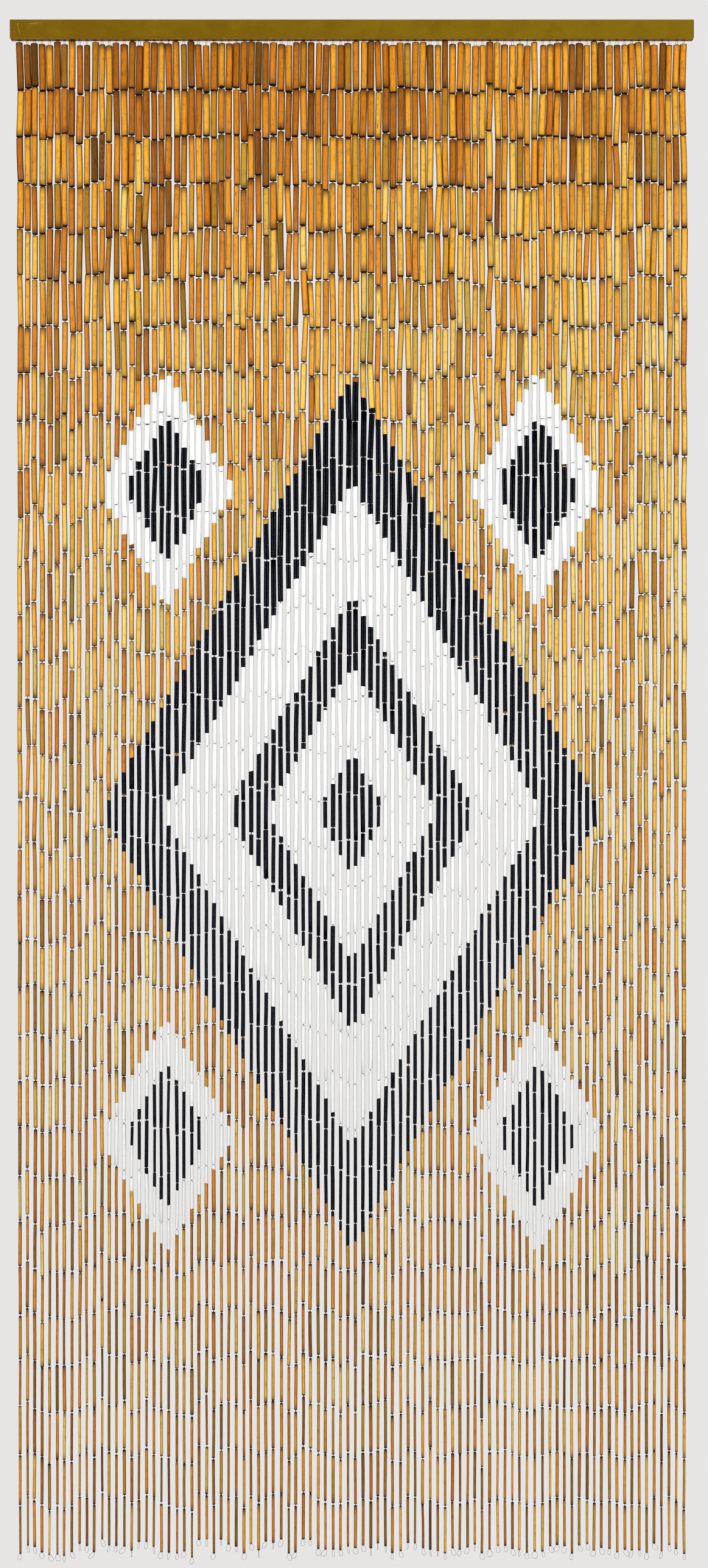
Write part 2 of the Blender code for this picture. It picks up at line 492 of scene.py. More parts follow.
def string_strands():
    """The plan of every strand, and its tubes as one list from the top down."""
    plans = [strand_plan(index) for index in range(STRANDS)]
    draws = [random.Random(TUBE_SEED + index) for index in range(STRANDS)]
    heights = [tube_heights(plan, draw) for plan, draw in zip(plans, draws)]
    heads = np.array([row[0] for row in heights])
    feet = np.array([row[1] for row in heights])
    widths = np.array([tube_widths(plan, row, draw) for plan, row, draw in zip(plans, heads, draws)])
    (head_x, head_y), (foot_x, foot_y) = joint_places(plans, draws, heads, feet, widths)

    strung = []
    for index, (plan, draw) in enumerate(zip(plans, draws)):
        edges = paint_edges(plan.hook_x, draw)
        tubes = []
        for row in range(TUBES_IN_STRAND):
            at = (index, row)
            head = np.array((head_x[at], head_y[at], heads[at]))
            foot = np.array((foot_x[at], foot_y[at], feet[at]))
            bow_way = draw.uniform(0, 2 * math.pi)
            bow_most = np.interp(row, (0, TUBES_IN_STRAND - 1), BOW_SPREAD)
            bow = draw.gauss(0, bow_most) * directions(bow_way)[0]
            slant = [draw.gauss(0, END_SLANT) for _ in range(4)]
            look = tube_look(row / TUBES_IN_STRAND, plan.hook_x / BATTEN_HIGH.x, draw)
            paint = paint_of_tube(edges, head[2], foot[2], draw)
            tubes.append(Tube(head, foot, widths[at], draw.gauss(0, FLARE_SPREAD), bow, slant, look, paint))
        strung.append(tubes)
    return plans, strung


def bore_width(width):
    return width - 2 * (settings().wall + WALL_SHARE * width)


def tube_rings(tube):
    """The rings of a hollow tube, from its upper bore edge down the outside to its lower bore edge. Columns:
    distance below the upper end, radius, finish from that ring to the next, how far the ring leans."""
    length = tube.head[2] - tube.foot[2]
    radius = tube.width / 2
    bore = bore_width(tube.width) / 2
    cuts = tube.paint[1:]
    stops = [(RIM, None, 0.0), (length - RIM, None, 0.0)] + cuts
    for share in (1 / 3, 2 / 3):
        if all(abs(length * share - cut[0]) > 2 * LEAST_BAND for cut in cuts):
            stops.append((length * share, None, 0.0))
    stops.sort(key=lambda stop: stop[0])

    paint = tube.paint[0][1]
    end_finish = paint if paint != NATURAL else CUT_END
    rings = [(0.0, bore, end_finish, 0.0), (0.0, radius - RIM, paint, 0.0)]
    for below, change, lean in stops:
        paint = paint if change is None else change
        rings.append((below, radius * (1 + tube.flare * (below / length - 0.5)), paint, lean))
    end_finish = paint if paint != NATURAL else CUT_END
    rings.append((length, radius - RIM, end_finish, 0.0))
    rings.append((length, bore, BORE, 0.0))
    return rings


def placed(name, data):
    """A new object in the scene."""
    made = bpy.data.objects.new(name, data)
    bpy.context.scene.collection.objects.link(made)
    return made


def mesh_from(bm, name):
    mesh = bpy.data.meshes.new(name)
    bm.to_mesh(mesh)
    bm.free()
    return mesh


class MeshPile:
    """Gathers many small closed forms into one mesh, with their finishes and named values at each point."""

    def __init__(self):
        self.points = []
        self.faces = []
        self.finishes = []
        self.values = {}
        self.count = 0

    def add(self, points, faces, finishes, values=None):
        self.points.append(points)
        self.faces.append(faces + self.count)
        self.finishes.append(finishes)
        for name, value in (values or {}).items():
            self.values.setdefault(name, []).append(np.broadcast_to(value, len(points)))
        self.count += len(points)

    def build(self, name, materials, sharp_angle):
        """Makes the piece. Edges sharper than sharp_angle, in degrees, stay sharp."""
        points = np.concatenate(self.points)
        faces = np.concatenate(self.faces)
        mesh = bpy.data.meshes.new(name)
        mesh.vertices.add(len(points))
        mesh.vertices.foreach_set("co", points.astype(np.float32).ravel())
        mesh.loops.add(faces.size)
        mesh.loops.foreach_set("vertex_index", faces.astype(np.int32).ravel())
        mesh.polygons.add(len(faces))
        mesh.polygons.foreach_set("loop_start", np.arange(0, faces.size, 4, dtype=np.int32))
        mesh.update(calc_edges=True)
        mesh.polygons.foreach_set("material_index", np.concatenate(self.finishes).astype(np.int32))
        for value_name, rows in self.values.items():
            attribute = mesh.attributes.new(value_name, "FLOAT", "POINT")
            attribute.data.foreach_set("value", np.concatenate(rows).astype(np.float32))
        mesh.validate()
        mesh.shade_smooth()
        mesh.set_sharp_from_angle(angle=math.radians(sharp_angle))
        for material in materials:
            mesh.materials.append(material)
        return placed(name, mesh)


def ring_faces(rings, sides, closed):
    """Quads between rings of points, and from the last ring back to the first if closed."""
    spans = rings if closed else rings - 1
    first = np.arange(spans)[:, None]
    side = np.arange(sides)[None, :]
    after = (first + 1) % rings
    turn = (side + 1) % sides
    corners = (first * sides + side, after * sides + side, after * sides + turn, first * sides + turn)
    return np.stack(corners, axis=-1).reshape(-1, 4)


def add_tube(pile, tube):
    below, radius, finishes, lean = (np.array(column) for column in zip(*tube_rings(tube)))
    sides = next(count for least, count in TUBE_SIDES if tube.width > least)
    length = tube.head[2] - tube.foot[2]
    along = below / length
    middle = tube.head + along[:, None] * (tube.foot - tube.head)
    middle += np.sin(along * math.pi)[:, None] * tube.bow
    axis = (tube.foot - tube.head) / length
    angle = np.arange(sides) / sides * 2 * math.pi
    across = radius[:, None] * np.cos(angle)
    deep = radius[:, None] * np.sin(angle)
    ragged = np.where(lean, PAINT_RAGGED, 0.0)[:, None] * np.sin(angle * 5 + tube.look.shift)
    edge = lean[:, None] * np.cos(angle) + ragged
    x_slant = axis[0] + np.interp(along, (0, 1), tube.slant[:2])
    y_slant = axis[1] + np.interp(along, (0, 1), tube.slant[2:])
    x = middle[:, 0, None] + across
    y = middle[:, 1, None] + deep
    z = middle[:, 2, None] + across * x_slant[:, None] + deep * y_slant[:, None] + edge
    points = np.stack((x, y, z), axis=-1).reshape(-1, 3)
    values = {
        "tone": tube.look.tone,
        "olive": tube.look.olive,
        "mottle": tube.look.mottle,
        "crack": tube.look.crack,
        "shift": tube.look.shift,
        "below_head": np.repeat(below, sides),
        "above_foot": np.repeat(length - below, sides),
    }
    pile.add(points, ring_faces(len(below), sides, True), np.repeat(finishes, sides), values)


def add_wire(pile, path, normal, thickness, sides, finish=0):
    """A round wire along a path that lies in the plane with that normal, closed at both ends."""
    path = np.asarray(path, float)
    along = np.gradient(path, axis=0)
    along /= np.linalg.norm(along, axis=1)[:, None]
    beside = np.cross(normal, along)
    angle = (np.arange(sides) + 0.5) / sides * 2 * math.pi
    ring = beside[:, None, :] * np.cos(angle)[:, None] + normal * np.sin(angle)[:, None]
    points = (path[:, None, :] + ring * thickness / 2).reshape(-1, 3)
    points = np.concatenate((points, [path[0], path[-1]]))
    tip_at, tail_at = len(points) - 2, len(points) - 1
    side = np.arange(0, sides, 2)
    around = [(side + step) % sides for step in range(3)]
    last = (len(path) - 1) * sides
    tips = np.stack((np.full_like(side, tip_at), *around), axis=-1)
    tails = np.stack((np.full_like(side, tail_at), *(last + at for at in reversed(around))), axis=-1)
    faces = np.concatenate((ring_faces(len(path), sides, False), tips, tails))
    pile.add(points, faces, np.full(len(faces), finish))


def add_hook(pile, mouth, crown, turn, spread, thickness):
    """A U of wire whose two legs come out of a tube's mouth and meet in a round crown. The legs reach the
    other way into the tube."""
    way, normal = directions(turn)
    rise = crown - mouth
    leg = mouth - up(math.copysign(LINK_REACH, rise[2]))
    # Columns: share of the spread to each side, place
    profile = ((0.5, leg), (0.42, mouth + rise * 0.15), (0.17, crown))
    path = [place - way * spread * share for share, place in profile]
    path += [place + way * spread * share for share, place in reversed(profile)]
    add_wire(pile, path, normal, thickness, LINK_SIDES)


def add_node(tree, kind, inputs=None, **values):
    """A shader node with its values set. An input that is given as a socket is linked to it."""
    node = tree.nodes.new(kind)
    for name, value in values.items():
        setattr(node, name, value)
    for socket, value in (inputs or {}).items():
        if isinstance(value, bpy.types.NodeSocket):
            tree.links.new(value, node.inputs[socket])
        else:
            node.inputs[socket].default_value = value
    return node


def math_node(tree, operation, first, second=0.0, third=0.0, clamp=False):
    inputs = {0: first, 1: second, 2: third}
    return add_node(tree, "ShaderNodeMath", inputs, operation=operation, use_clamp=clamp).outputs[0]


def scaled(tree, value, factor, offset=0.0, clamp=False):
    return math_node(tree, "MULTIPLY_ADD", value, factor, offset, clamp)


def swung(tree, value, mask, most, clamp=False):
    """value, moved up or down by how far a mask lies from its middle."""
    return scaled(tree, math_node(tree, "SUBTRACT", mask, 0.5), most, value, clamp)


def mapped(tree, value, low, high, new_low=0.0, new_high=1.0):
    """value, as it goes from low to high, turned into a smooth step from new_low to new_high."""
    inputs = {"Value": value, "From Min": low, "From Max": high, "To Min": new_low, "To Max": new_high}
    return add_node(tree, "ShaderNodeMapRange", inputs, interpolation_type="SMOOTHSTEP").outputs["Result"]


def mixed(tree, factor, first, second):
    node = add_node(tree, "ShaderNodeMix", data_type="RGBA")
    for index, value in ((0, factor), (6, first), (7, second)):
        if isinstance(value, bpy.types.NodeSocket):
            tree.links.new(value, node.inputs[index])
        else:
            node.inputs[index].default_value = (*value, 1.0)
    return node.outputs[2]


def stained(tree, colour, stain, mask, strength=1.0):
    """colour with a stain over it where the mask is, at most as strong as strength."""
    return mixed(tree, scaled(tree, mask, strength), colour, stain)


def attribute(tree, name):
    node = add_node(tree, "ShaderNodeAttribute", attribute_name=name, attribute_type="GEOMETRY")
    return node.outputs["Fac"]


def coordinates(tree, kind="Object"):
    return add_node(tree, "ShaderNodeTexCoord").outputs[kind]


def parted(tree, vector):
    """X, Y and Z of a vector."""
    return add_node(tree, "ShaderNodeSeparateXYZ", {0: vector}).outputs


def noise(tree, place, scale, detail, roughness=0.5):
    inputs = {"Vector": place, "Scale": scale, "Detail": detail, "Roughness": roughness}
    return add_node(tree, "ShaderNodeTexNoise", inputs).outputs["Fac"]


def ramp(tree, value, stops):
    """A colour ramp through (place, colour) stops."""
    node = add_node(tree, "ShaderNodeValToRGB", {"Fac": value})
    elements = node.color_ramp.elements
    while len(elements) < len(stops):
        elements.new(0.5)
    for element, (place, colour) in zip(elements, stops):
        element.position = place
        element.color = (*colour, 1.0)
    return node.outputs["Color"]


def new_group(name, inputs, outputs):
    """A node group with named float inputs, given as (name, default), and named outputs. Returns the group,
    its inputs and its output node."""
    group = bpy.data.node_groups.new(name, "ShaderNodeTree")
    for socket_name, default in inputs:
        socket = group.interface.new_socket(
            name=socket_name, in_out="INPUT", socket_type="NodeSocketFloat",
        )
        socket.default_value = default
    for socket_name in outputs:
        group.interface.new_socket(name=socket_name, in_out="OUTPUT", socket_type="NodeSocketFloat")
    return group, group.nodes.new("NodeGroupInput").outputs, group.nodes.new("NodeGroupOutput")


def make_fibres(name):
    """Streaks along Z. Width is a streak's width in metres, and Stretch how many times longer it is."""
    inputs = (("Width", 0.0004), ("Stretch", 25.0), ("Shift", 0.0))
    group, given, result = new_group(name, inputs, ("Value",))
    x, y, z = parted(group, coordinates(group))
    per_metre = math_node(group, "DIVIDE", 1.0, given["Width"])
    along = math_node(group, "DIVIDE", per_metre, given["Stretch"])
    stretched = add_node(group, "ShaderNodeCombineXYZ", {
        0: scaled(group, x, per_metre, given["Shift"]),
        1: scaled(group, y, per_metre),
        2: scaled(group, z, along, given["Shift"]),
    })
    group.links.new(noise(group, stretched.outputs[0], 1.0, 2.0), result.inputs["Value"])
    return group


def make_spots(name):
    """Irregular spots. Size is their spacing in metres, Cover how much they cover, from 0 to 1, and Softness
    the width of their edges."""
    inputs = (("Size", 0.001), ("Cover", 0.1), ("Softness", 0.05), ("Shift", 0.0))
    group, given, result = new_group(name, inputs, ("Mask",))
    inputs = {0: coordinates(group), "Scale": math_node(group, "DIVIDE", 1.0, given["Size"])}
    place = add_node(group, "ShaderNodeVectorMath", inputs, operation="SCALE").outputs[0]
    inputs = {0: place, 1: given["Shift"]}
    place = add_node(group, "ShaderNodeVectorMath", inputs, operation="ADD").outputs[0]
    edge = scaled(group, given["Cover"], -0.42, 0.80)
    high = math_node(group, "ADD", edge, given["Softness"])
    group.links.new(mapped(group, noise(group, place, 1.0, 3.0, 0.65), edge, high), result.inputs["Mask"])
    return group


def shared_group(tree, name, make, inputs):
    """The output of a node group that is made once and placed wherever it is used."""
    group = bpy.data.node_groups.get(name) or make(name)
    return add_node(tree, "ShaderNodeGroup", inputs, node_tree=group).outputs[0]


def fibres(tree, width, stretch, shift):
    inputs = {"Width": width, "Stretch": stretch, "Shift": shift}
    return shared_group(tree, "lengthwise_fibres", make_fibres, inputs)


def spots(tree, size, cover, shift=0.0, softness=0.05):
    inputs = {"Size": size, "Cover": cover, "Softness": softness, "Shift": shift}
    return shared_group(tree, "irregular_spots", make_spots, inputs)


def new_material(name):
    """An empty material and its Principled shader."""
    material = bpy.data.materials.new(name)
    material.use_nodes = True
    return material, material.node_tree, material.node_tree.nodes["Principled BSDF"]


def wire_up(tree, shader, colour, roughness, height=None, bump=0.0):
    tree.links.new(colour, shader.inputs["Base Color"])
    if isinstance(roughness, bpy.types.NodeSocket):
        tree.links.new(roughness, shader.inputs["Roughness"])
    else:
        shader.inputs["Roughness"].default_value = roughness
    if height is not None:
        inputs = {"Strength": bump, "Distance": 0.0002, "Height": height}
        raised = add_node(tree, "ShaderNodeBump", inputs)
        tree.links.new(raised.outputs["Normal"], shader.inputs["Normal"])


def skin_colour(tree, palette, shift, fine, broad):
    """Colour of bamboo skin away from its ends: each tube its own tone, streaked along its fibres, with
    painted shade on its flanks.
    """
    own_tone = attribute(tree, "tone")
    tone = swung(tree, own_tone, fine, 0.32)
    tone = swung(tree, tone, broad, mapped(tree, own_tone, 0.05, 0.55, 0.22, 0.55), clamp=True)
    colour = ramp(tree, tone, (
        (0.05, palette.toasted),
        (0.30, palette.brown),
        (0.54, palette.orange),
        (0.74, palette.amber),
        (0.98, palette.pale),
    ))
    green = mapped(tree, broad, 0.25, 0.6, 0.5, 1.0)
    colour = stained(tree, colour, palette.olive, green, attribute(tree, "olive"))
    smudges = spots(tree, 0.0075, 0.75, shift, 0.30)
    colour = stained(tree, colour, palette.toasted, smudges, 0.44)
    pores = spots(tree, 0.00045, 0.70, shift, 0.18)
    colour = stained(tree, colour, palette.toasted, pores, 0.16)

    # Painted shade: the skin is darkened towards the toasted and then the scorch colour where it turns away
    # to either side of the curtain's face, as the tubes' flanks fall into shade
    flank_shade = math_node(tree, "ABSOLUTE", parted(tree, coordinates(tree, "Normal"))[0])
    colour = mixed(tree, mapped(tree, flank_shade, 0.42, 0.96, 0.0, 0.66), colour, palette.toasted)
    colour = mixed(tree, mapped(tree, flank_shade, 0.82, 0.99, 0.0, 0.78), colour, palette.scorch)

    streaks = mapped(tree, fibres(tree, 0.0006, 34.0, shift), 0.60, 0.74)
    colour = stained(tree, colour, palette.toasted, streaks, 0.28)
    blotches = spots(tree, 0.0013, scaled(tree, attribute(tree, "mottle"), 0.85), shift, 0.22)
    colour = stained(tree, colour, palette.toasted, blotches, 0.40)
    colour = stained(tree, colour, palette.scorch, spots(tree, 0.0009, 0.26, shift), 0.65)
    split = fibres(tree, 0.0011, 9.0, math_node(tree, "ADD", shift, 7.0))
    split = mapped(tree, split, 0.635, 0.655)
    return stained(tree, colour, palette.scorch, split, attribute(tree, "crack"))


def scorched_ends(tree, palette, colour, shift, broad):
    """Toasts both ends of a tube, burns ragged tongues into them and chars their rims. Rims are longer lower
    down the curtain, and chance says how much of all this each end has. The lower end's burns and rims are
    darker than the upper end's: painted shade beneath each tube on top of the scorch."""
    chances = add_node(tree, "ShaderNodeTexWhiteNoise", {"W": shift}, noise_dimensions="1D").outputs["Color"]
    chances = add_node(tree, "ShaderNodeSeparateColor", {0: chances}).outputs
    tongues = fibres(tree, 0.0024, 2.2, shift)
    low = mapped(tree, parted(tree, coordinates(tree))[2], -0.7, -1.9)
    rim_start = scaled(tree, low, 0.0008, 0.0006)
    rim_stop = scaled(tree, low, 0.0010, 0.0012)
    # Columns: distance from the end, chance, and how dark its burns get, with the lower end darker as painted
    # shade on top of the scorch
    for side, chance, most in (("above_foot", chances[0], 0.97), ("below_head", chances[1], 0.80)):
        from_end = attribute(tree, side)
        reach = scaled(tree, chance, 0.010, 0.0020)
        toast = mapped(tree, scaled(tree, broad, -0.005, from_end), -0.003, reach, 0.85, 0.0)
        colour = stained(tree, colour, palette.toasted, toast, mapped(tree, chance, 0.1, 0.9, 0.20, 1.0))
        edge = scaled(tree, chance, 0.0030, 0.0006)
        burn_and_shade = mapped(tree, swung(tree, from_end, tongues, -0.010), -0.0008, edge, 0.62 * most, 0.0)
        rim = mapped(tree, swung(tree, from_end, tongues, -0.0028), rim_start, rim_stop, 0.97, 0.0)
        rim = scaled(tree, rim, mapped(tree, chance, 0.05, 0.30, most - 0.45, 1.0))
        colour = mixed(tree, math_node(tree, "MAXIMUM", burn_and_shade, rim), colour, palette.scorch)
    return colour


def bamboo_material(name):
    """Varnished bamboo skin with fibres, streaks, smudges, blotches, cracks and scorched ends."""
    palette = colours()
    material, tree, shader = new_material(name)
    shift = attribute(tree, "shift")
    fine = fibres(tree, 0.00030, 24.0, shift)
    broad = fibres(tree, 0.0016, 30.0, shift)
    colour = skin_colour(tree, palette, shift, fine, broad)
    colour = scorched_ends(tree, palette, colour, shift, broad)
    wire_up(tree, shader, colour, mapped(tree, fine, 0.2, 0.8, 0.26, 0.42), fine, 0.35)
    shader.inputs["Specular IOR Level"].default_value = 0.42
    shader.inputs["Coat Weight"].default_value = 0.40
    shader.inputs["Coat Roughness"].default_value = 0.20
    return material


def black_paint_material(name):
    """Glossy blue-black paint whose small ripples break its highlights into dashes."""
    palette = colours()
    material, tree, shader = new_material(name)
    shift = attribute(tree, "shift")
    ripples = fibres(tree, 0.0011, 1.0, shift)
    colour = stained(tree, palette.black_paint, palette.brown, spots(tree, 0.0020, 0.08, shift), 0.35)
    wire_up(tree, shader, colour, mapped(tree, ripples, 0.35, 0.65, 0.10, 0.24), ripples, 0.8)
    shader.inputs["Specular IOR Level"].default_value = 0.42
    shader.inputs["Specular Tint"].default_value = (*srgb(214, 226, 255), 1.0)
    return material


def white_paint_material(name):
    """Matt white paint, thin along some fibres, worn near a tube's ends, with dark flecks that it missed."""
    material, tree, shader = new_material(name)
    shift = attribute(tree, "shift")
    fine = fibres(tree, 0.0005, 12.0, shift)
    thin = mapped(tree, fine, 0.60, 0.75)
    colour = stained(tree, colours().white_paint, srgb(176, 184, 190), thin, 0.22)
    from_end = math_node(tree, "MINIMUM", attribute(tree, "below_head"), attribute(tree, "above_foot"))
    near_end = mapped(tree, from_end, 0.0010, 0.0110, 1.0, 0.0)
    worn = spots(tree, 0.0013, scaled(tree, near_end, 0.62), shift, 0.10)
    colour = stained(tree, colour, srgb(140, 150, 162), worn, 0.7)
    colour = stained(tree, colour, srgb(70, 62, 50), spots(tree, 0.0013, 0.30, shift), 0.85)
    wire_up(tree, shader, colour, 0.5, fine, 0.25)
    return material


def cut_end_material(name):
    """Sawn and scorched end of a tube, stained darker still as painted shade of its rim."""
    material, tree, shader = new_material(name)
    # Scorch and painted shade: dark spots cover most of the cut end
    burn_and_shade = spots(tree, 0.0012, 0.65, attribute(tree, "shift"), 0.15)
    wire_up(tree, shader, stained(tree, srgb(104, 66, 28), colours().scorch, burn_and_shade, 0.9), 0.75)
    return material


def bore_material(name):
    """Rough inside of a tube, painted nearly black: painted shade of the hollow."""
    material, tree, shader = new_material(name)
    lines = mapped(tree, fibres(tree, 0.0005, 10.0, 0.0), 0.3, 0.7)
    # Painted shade: the bore's colours are near black
    wire_up(tree, shader, mixed(tree, lines, srgb(16, 10, 5), srgb(44, 27, 12)), 0.85)
    return material


def steel_material(name):
    """Dull steel wire with darker, rusty spots."""
    material, tree, shader = new_material(name)
    rust = spots(tree, 0.0011, 0.50, 0.0, 0.12)
    wire_up(tree, shader, mixed(tree, rust, colours().steel, srgb(58, 50, 42)), 0.42)
    shader.inputs["Metallic"].default_value = 0.4
    return material


def staple_material(name):
    """Blackened iron, spotted with rust."""
    material, tree, shader = new_material(name)
    rust = spots(tree, 0.0008, 0.45, 1.0, 0.12)
    wire_up(tree, shader, mixed(tree, rust, srgb(34, 30, 27), srgb(78, 50, 30)), 0.6)
    return material


def scratch(tree, x, z, across, top, foot, bend):
    """Mask of a bent scratch that starts at (across, top) and runs down to foot."""
    down = math_node(tree, "SUBTRACT", top, z)
    curve = scaled(tree, scaled(tree, down, down), bend)
    aside = math_node(tree, "SUBTRACT", math_node(tree, "SUBTRACT", x, across), curve)
    line = mapped(tree, math_node(tree, "ABSOLUTE", aside), 0.00008, 0.00026, 1.0, 0.0)
    started = mapped(tree, down, 0.0, 0.0003)
    stopped = mapped(tree, z, foot, foot + 0.0003)
    return scaled(tree, line, scaled(tree, started, stopped))


def scratches(tree, x, z, rows):
    first, second = (scratch(tree, x, z, *row) for row in rows)
    return math_node(tree, "MAXIMUM", first, second)


def batten_paint_colour(tree, palette, place, x, z, grain):
    """Olive gold with fine flecks, painted light that yellows it towards the right end, rubbed at the edges
    and scratched at the left end.
    """
    # Painted light: the paint turns yellower towards the right end, where the light fell brighter, with broad
    # random blotches
    right_light_and_blotches = scaled(tree, x, 0.5, noise(tree, place, 45.0, 3.0))
    colour = mixed(tree, mapped(tree, right_light_and_blotches, 0.2, 0.8), palette.gold_paint, srgb(130, 104, 12))
    colour = mixed(tree, mapped(tree, grain, 0.36, 0.70, 0.0, 0.50), colour, srgb(88, 64, 4))
    colour = stained(tree, colour, srgb(170, 142, 28), spots(tree, 0.0008, 0.52, 0.0, 0.15), 0.30)
    rubbed = spots(tree, 0.0010, scaled(tree, attribute(tree, "edge"), 0.62), 5.0)
    worn = mapped(tree, x, -0.36, -0.43, 0.06, 0.75)
    colour = stained(tree, colour, srgb(196, 168, 52), rubbed, worn)
    level = scaled(tree, scratches(tree, z, x, LEVEL_SCRATCHES), 0.55)
    marks = math_node(tree, "MAXIMUM", scratches(tree, x, z, UPRIGHT_SCRATCHES), level)
    broken = mapped(tree, grain, 0.42, 0.54, 0.1, 0.85)
    return stained(tree, colour, srgb(218, 200, 104), marks, broken)


def batten_wood_colour(tree, palette, x, y):
    """Bare wood with grain lines, stains and, at each hook, a dark spot: painted shade of the hole that the
    wire goes into, with staining round it.
    """
    stretched = add_node(tree, "ShaderNodeCombineXYZ", {0: scaled(tree, x, 40.0), 1: scaled(tree, y, 900.0)})
    lines = noise(tree, stretched.outputs[0], 1.0, 3.0)
    wood = ramp(tree, lines, (
        (0.30, srgb(128, 78, 36)),
        (0.55, palette.bare_wood),
        (0.75, srgb(206, 152, 88)),
    ))
    wood = stained(tree, wood, srgb(84, 48, 22), spots(tree, 0.0040, 0.50, 2.0, 0.12), 0.7)
    # Painted shade of each hook's hole, with staining: darkest on the strand's line, fading within two
    # millimetres
    strand = scaled(tree, x, 1 / STRAND_PITCH, STRANDS / 2)
    aside = scaled(tree, math_node(tree, "FRACT", strand), STRAND_PITCH, -STRAND_PITCH / 2)
    deep = math_node(tree, "SUBTRACT", y, STRAND_Y)
    apart = math_node(tree, "SQRT", scaled(tree, deep, deep, scaled(tree, aside, aside)))
    return mixed(tree, mapped(tree, apart, 0.0010, 0.0019, 0.95, 0.0), wood, palette.scorch)


def batten_material(name):
    """Gold paint that ends in a wavering edge at the bare underside."""
    palette = colours()
    material, tree, shader = new_material(name)
    place = coordinates(tree)
    x, y, z = parted(tree, place)
    grain = noise(tree, place, 2200.0, 2.0)
    paint = batten_paint_colour(tree, palette, place, x, z, grain)
    wood = batten_wood_colour(tree, palette, x, y)
    creep = scaled(tree, spots(tree, 0.0050, 0.60, 3.0, 0.2), 0.0011, UNDERSIDE + 0.0002)
    bare = mapped(tree, math_node(tree, "SUBTRACT", z, creep), 0.0001, -0.0001)
    colour = mixed(tree, bare, paint, wood)
    wire_up(tree, shader, colour, mapped(tree, grain, 0.3, 0.7, 0.46, 0.64), grain, 0.2)
    shader.inputs["Specular IOR Level"].default_value = 0.25
    return material


# Those of the tubes come first, in the order of NATURAL to BORE
MAKERS = {
    "bamboo skin": bamboo_material,
    "black figure paint": black_paint_material,
    "white figure paint": white_paint_material,
    "cut bamboo end": cut_end_material,
    "tube bore": bore_material,
    "dull steel wire": steel_material,
    "blackened staple": staple_material,
    "gold batten paint": batten_material,
}
TUBE_FINISHES = tuple(MAKERS)[:BORE + 1]


def finishes(*names):
    """Materials by name, each made the first time that it is asked for."""
    return [bpy.data.materials.get(name) or MAKERS[name](name) for name in names]


def finish_piece(piece, node):
    """Attaches a piece to the root body, which holds it still, and hides the solid that it shows."""
    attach(piece, "root")
    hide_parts(node)


class CURTAIN_OT_tubes(bpy.types.Operator):
    """Make the bamboo tubes of every strand, plain ones and painted ones apart"""

    bl_idname = "curtain.tubes"
    bl_label = "Make Bamboo Tubes"

    def execute(self, context):
        strung = string_strands()[1]
        materials = finishes(*TUBE_FINISHES)
        for number, first in enumerate(range(0, STRANDS, STRANDS_IN_BAND), start=1):
            plain, painted = [], []
            for strand in strung[first:first + STRANDS_IN_BAND]:
                for tube in strand:
                    bare = all(row[1] == NATURAL for row in tube.paint)
                    (plain if bare else painted).append(tube)
            for name, slot, group in (("tubes", "bamboo", plain), ("painted_tubes", "figure_paint", painted)):
                if not group:
                    continue
                pile = MeshPile()
                for tube in group:
                    add_tube(pile, tube)
                finish_piece(pile.build(f"{name}_{number:02d}", materials, 40), "strands")
        return {"FINISHED"}


class CURTAIN_OT_links(bpy.types.Operator):
    """Make the pairs of hooked wires that hold each tube to the next"""

    bl_idname = "curtain.links"
    bl_label = "Make Wire Links"

    def execute(self, context):
        strung = string_strands()[1]
        thickness = settings().link_wire
        half = up(thickness / 2)
        for number, first in enumerate(range(0, STRANDS, STRANDS_OF_LINKS), start=1):
            pile = MeshPile()
            for index in range(first, first + STRANDS_OF_LINKS):
                draw = random.Random(LINK_SEED + index)
                for upper, lower in zip(strung[index], strung[index][1:]):
                    bore = bore_width(min(upper.width, lower.width))
                    spread = min(bore - LINK_CLEARANCE * thickness, draw.uniform(*LINK_SPREAD))
                    turn = draw.uniform(0, math.pi)
                    middle = (upper.foot + lower.head) / 2
                    add_hook(pile, upper.foot, middle - half, turn, spread, thickness)
                    add_hook(pile, lower.head, middle + half, turn + math.pi / 2, spread, thickness)
            piece = pile.build(f"wire_links_{number}", finishes("dull steel wire"), 70)
            finish_piece(piece, "strands")
        return {"FINISHED"}


class CURTAIN_OT_hooks(bpy.types.Operator):
    """Make each strand's wire hook and the staple that holds it to the batten's underside"""

    bl_idname = "curtain.hooks"
    bl_label = "Make Wire Hooks"

    def execute(self, context):
        thickness = settings().link_wire
        pile = MeshPile()
        for plan, tubes in zip(*string_strands()):
            draw = random.Random(HOOK_SEED + round(plan.hook_x * 1e6))
            most = bore_width(tubes[0].width) - HOOK_CLEARANCE * thickness
            spread = min(most, settings().hook_spread * draw.triangular(*HOOK_SPREAD_SHARE))
            way, normal = directions(draw.gauss(0, HOOK_TURN))
            staple = np.array((plan.hook_x, STRAND_Y, UNDERSIDE))
            crown = staple - up(ARCH_DROP)
            mouth = tubes[0].head
            shoulder = crown + (mouth - crown) * min(0.8, 0.55 * spread / (crown[2] - mouth[2]))
            foot = mouth - up(LINK_REACH)
            arch = [
                shoulder + (crown - shoulder) * math.sin(angle) + way * spread / 2 * math.cos(angle)
                for angle in np.linspace(math.pi, 0, ARCH_POINTS)
            ]
            left, right = (
                [place + way * spread * side for place in (foot, mouth)] for side in (-LEG_SHARE, LEG_SHARE)
            )
            add_wire(pile, left + arch + right[::-1], normal, thickness * HOOK_WIRE_SHARE, LINK_SIDES)
            bent = [staple + normal * STAPLE_SPREAD * deep + up(high) for deep, high in STAPLE]
            add_wire(pile, bent, way, thickness, LINK_SIDES, 1)
        piece = pile.build("wire_hooks", finishes("dull steel wire", "blackened staple"), 70)
        finish_piece(piece, "strands")
        return {"FINISHED"}


